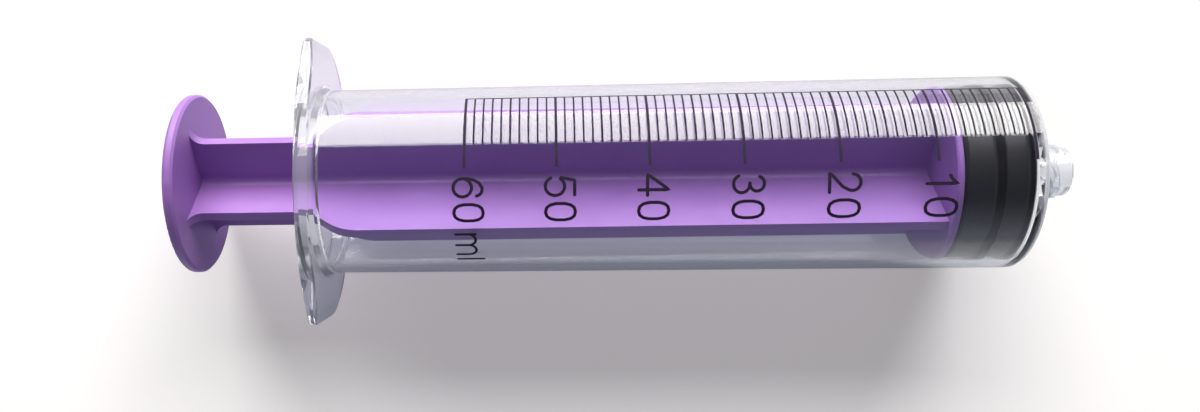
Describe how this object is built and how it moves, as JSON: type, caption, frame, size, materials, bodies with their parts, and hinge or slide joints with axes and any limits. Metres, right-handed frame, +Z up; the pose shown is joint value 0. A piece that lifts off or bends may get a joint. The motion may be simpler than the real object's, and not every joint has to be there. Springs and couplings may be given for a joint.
{
  "type": "enteral syringe",
  "caption": "Clear barrel with a winged finger flange and a female enteral tip, purple cross-ribbed plunger rod and black rubber seal.",
  "frame": {"origin": "centre of the tip's mouth, on the syringe's axis", "axes": "+X along the syringe and out of the tip, +Z up as it lies on its side, the wings of the flange along Y"},
  "size_m": [0.1487, 0.049, 0.033],
  "materials": {
    "clear_polypropylene": "clear, glossy, injection moulded",
    "purple_polypropylene": "solid colour, satin gloss, injection moulded",
    "black_rubber": "smooth, lightly oiled, compression moulded",
    "printed_ink": "black ink, pad printed on the barrel"
  },
  "bodies": {
    "barrel": {"barrel": "clear_polypropylene"},
    "seal": {"plunger_seal": "black_rubber"},
    "rod": {"plunger_rod": "purple_polypropylene"}
  },
  "joints": [
    {"name": "plunger_slide", "type": "slide", "parent": "barrel", "child": "seal", "axis": [-1, 0, 0], "range_m": [0, 0.1002]},
    {"name": "rod_turn", "type": "hinge", "parent": "seal", "child": "rod", "pos_m": [-0.018, 0, 0], "axis": [1, 0, 0], "continuous": true}
  ]
}
